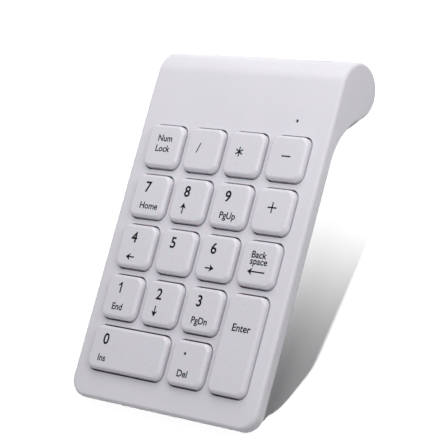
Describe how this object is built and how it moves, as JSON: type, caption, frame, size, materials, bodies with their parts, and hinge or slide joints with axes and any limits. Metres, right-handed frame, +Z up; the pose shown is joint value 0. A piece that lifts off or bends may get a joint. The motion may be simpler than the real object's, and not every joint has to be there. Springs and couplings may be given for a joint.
{
  "type": "numeric keypad",
  "caption": "Slim wireless numeric keypad: a wedge of low square keys on a tilted deck, carried at the back by a round battery roll.",
  "frame": {"origin": "middle of the outline on the table that the feet stand on", "axes": "+X to the right across the keys, +Y from the front edge to the battery roll, +Z up"},
  "size_m": [0.0864, 0.1338, 0.0205],
  "materials": {
    "white_abs": "fine satin texture",
    "white_abs_underside": "fine satin texture",
    "key_abs": "fine satin texture, printed legends",
    "grey_plastic": "moulded",
    "silicone": "soft, slightly translucent",
    "clear_film": "printed polyester film",
    "sheet_steel": "rolled",
    "green_laminate": "solder mask",
    "black_epoxy": "moulded",
    "bright_metal": "nickel plated",
    "ceramic": "fired",
    "lens_plastic": "smoked",
    "screw_steel": "plated",
    "black_plastic": "ribbed",
    "cell_sleeve": "plain printed sleeve",
    "black_rubber": "matt"
  },
  "bodies": {
    "casing": {"backplate": "sheet_steel", "battery_cell": "cell_sleeve", "battery_spring": "bright_metal", "board_screws": "screw_steel", "bottom_cover": "white_abs_underside", "chip_capacitors": "ceramic", "circuit_board": "green_laminate", "controller_chip": "black_epoxy", "cover_screws": "screw_steel", "crystal": "bright_metal", "dome_sheet": "silicone", "front_feet": "black_rubber", "key_guide_frame": "grey_plastic", "light_pipe": "lens_plastic", "membrane_lower": "clear_film", "membrane_spacer": "clear_film", "membrane_upper": "clear_film", "negative_contact": "bright_metal", "positive_contact": "bright_metal", "power_switch_body": "black_epoxy", "rear_feet": "black_rubber", "status_led": "lens_plastic", "tail_clamp": "grey_plastic", "top_cover": "white_abs"},
    "battery_door": {"battery_door": "white_abs_underside"},
    "power_switch_knob": {"power_switch_knob": "black_plastic"},
    "key_num_lock": {"key_num_lock": "key_abs"},
    "key_divide": {"key_divide": "key_abs"},
    "key_multiply": {"key_multiply": "key_abs"},
    "key_minus": {"key_minus": "key_abs"},
    "key_7": {"key_7": "key_abs"},
    "key_8": {"key_8": "key_abs"},
    "key_9": {"key_9": "key_abs"},
    "key_plus": {"key_plus": "key_abs"},
    "key_4": {"key_4": "key_abs"},
    "key_5": {"key_5": "key_abs"},
    "key_6": {"key_6": "key_abs"},
    "key_backspace": {"key_backspace": "key_abs"},
    "key_1": {"key_1": "key_abs"},
    "key_2": {"key_2": "key_abs"},
    "key_3": {"key_3": "key_abs"},
    "key_enter": {"key_enter": "key_abs"},
    "key_0": {"key_0": "key_abs"},
    "key_decimal": {"key_decimal": "key_abs"}
  },
  "joints": [
    {"name": "key_num_lock_press", "type": "slide", "parent": "casing", "child": "key_num_lock", "axis": [0, -0.11, 0.9939], "range_m": [-0.002, 0], "stiffness_N_per_m": 300, "springref_m": 0.0005, "deforming": ["dome_sheet"]},
    {"name": "key_divide_press", "type": "slide", "parent": "casing", "child": "key_divide", "axis": [0, -0.11, 0.9939], "range_m": [-0.002, 0], "stiffness_N_per_m": 300, "springref_m": 0.0005, "deforming": ["dome_sheet"]},
    {"name": "key_multiply_press", "type": "slide", "parent": "casing", "child": "key_multiply", "axis": [0, -0.11, 0.9939], "range_m": [-0.002, 0], "stiffness_N_per_m": 300, "springref_m": 0.0005, "deforming": ["dome_sheet"]},
    {"name": "key_minus_press", "type": "slide", "parent": "casing", "child": "key_minus", "axis": [0, -0.11, 0.9939], "range_m": [-0.002, 0], "stiffness_N_per_m": 300, "springref_m": 0.0005, "deforming": ["dome_sheet"]},
    {"name": "key_7_press", "type": "slide", "parent": "casing", "child": "key_7", "axis": [0, -0.11, 0.9939], "range_m": [-0.002, 0], "stiffness_N_per_m": 300, "springref_m": 0.0005, "deforming": ["dome_sheet"]},
    {"name": "key_8_press", "type": "slide", "parent": "casing", "child": "key_8", "axis": [0, -0.11, 0.9939], "range_m": [-0.002, 0], "stiffness_N_per_m": 300, "springref_m": 0.0005, "deforming": ["dome_sheet"]},
    {"name": "key_9_press", "type": "slide", "parent": "casing", "child": "key_9", "axis": [0, -0.11, 0.9939], "range_m": [-0.002, 0], "stiffness_N_per_m": 300, "springref_m": 0.0005, "deforming": ["dome_sheet"]},
    {"name": "key_plus_press", "type": "slide", "parent": "casing", "child": "key_plus", "axis": [0, -0.11, 0.9939], "range_m": [-0.002, 0], "stiffness_N_per_m": 300, "springref_m": 0.0005, "deforming": ["dome_sheet"]},
    {"name": "key_4_press", "type": "slide", "parent": "casing", "child": "key_4", "axis": [0, -0.11, 0.9939], "range_m": [-0.002, 0], "stiffness_N_per_m": 300, "springref_m": 0.0005, "deforming": ["dome_sheet"]},
    {"name": "key_5_press", "type": "slide", "parent": "casing", "child": "key_5", "axis": [0, -0.11, 0.9939], "range_m": [-0.002, 0], "stiffness_N_per_m": 300, "springref_m": 0.0005, "deforming": ["dome_sheet"]},
    {"name": "key_6_press", "type": "slide", "parent": "casing", "child": "key_6", "axis": [0, -0.11, 0.9939], "range_m": [-0.002, 0], "stiffness_N_per_m": 300, "springref_m": 0.0005, "deforming": ["dome_sheet"]},
    {"name": "key_backspace_press", "type": "slide", "parent": "casing", "child": "key_backspace", "axis": [0, -0.11, 0.9939], "range_m": [-0.002, 0], "stiffness_N_per_m": 300, "springref_m": 0.0005, "deforming": ["dome_sheet"]},
    {"name": "key_1_press", "type": "slide", "parent": "casing", "child": "key_1", "axis": [0, -0.11, 0.9939], "range_m": [-0.002, 0], "stiffness_N_per_m": 300, "springref_m": 0.0005, "deforming": ["dome_sheet"]},
    {"name": "key_2_press", "type": "slide", "parent": "casing", "child": "key_2", "axis": [0, -0.11, 0.9939], "range_m": [-0.002, 0], "stiffness_N_per_m": 300, "springref_m": 0.0005, "deforming": ["dome_sheet"]},
    {"name": "key_3_press", "type": "slide", "parent": "casing", "child": "key_3", "axis": [0, -0.11, 0.9939], "range_m": [-0.002, 0], "stiffness_N_per_m": 300, "springref_m": 0.0005, "deforming": ["dome_sheet"]},
    {"name": "key_enter_press", "type": "slide", "parent": "casing", "child": "key_enter", "axis": [0, -0.11, 0.9939], "range_m": [-0.002, 0], "stiffness_N_per_m": 300, "springref_m": 0.0005, "deforming": ["dome_sheet"]},
    {"name": "key_0_press", "type": "slide", "parent": "casing", "child": "key_0", "axis": [0, -0.11, 0.9939], "range_m": [-0.002, 0], "stiffness_N_per_m": 300, "springref_m": 0.0005, "deforming": ["dome_sheet"]},
    {"name": "key_decimal_press", "type": "slide", "parent": "casing", "child": "key_decimal", "axis": [0, -0.11, 0.9939], "range_m": [-0.002, 0], "stiffness_N_per_m": 300, "springref_m": 0.0005, "deforming": ["dome_sheet"]},
    {"name": "battery_door_hinge", "type": "hinge", "parent": "casing", "child": "battery_door", "pos_m": [0, 0.05207, 0.00276], "axis": [-1, 0, 0], "range_deg": [0, 75]},
    {"name": "power_switch_slide", "type": "slide", "parent": "casing", "child": "power_switch_knob", "axis": [1, 0, 0], "range_m": [0, 0.002]}
  ]
}
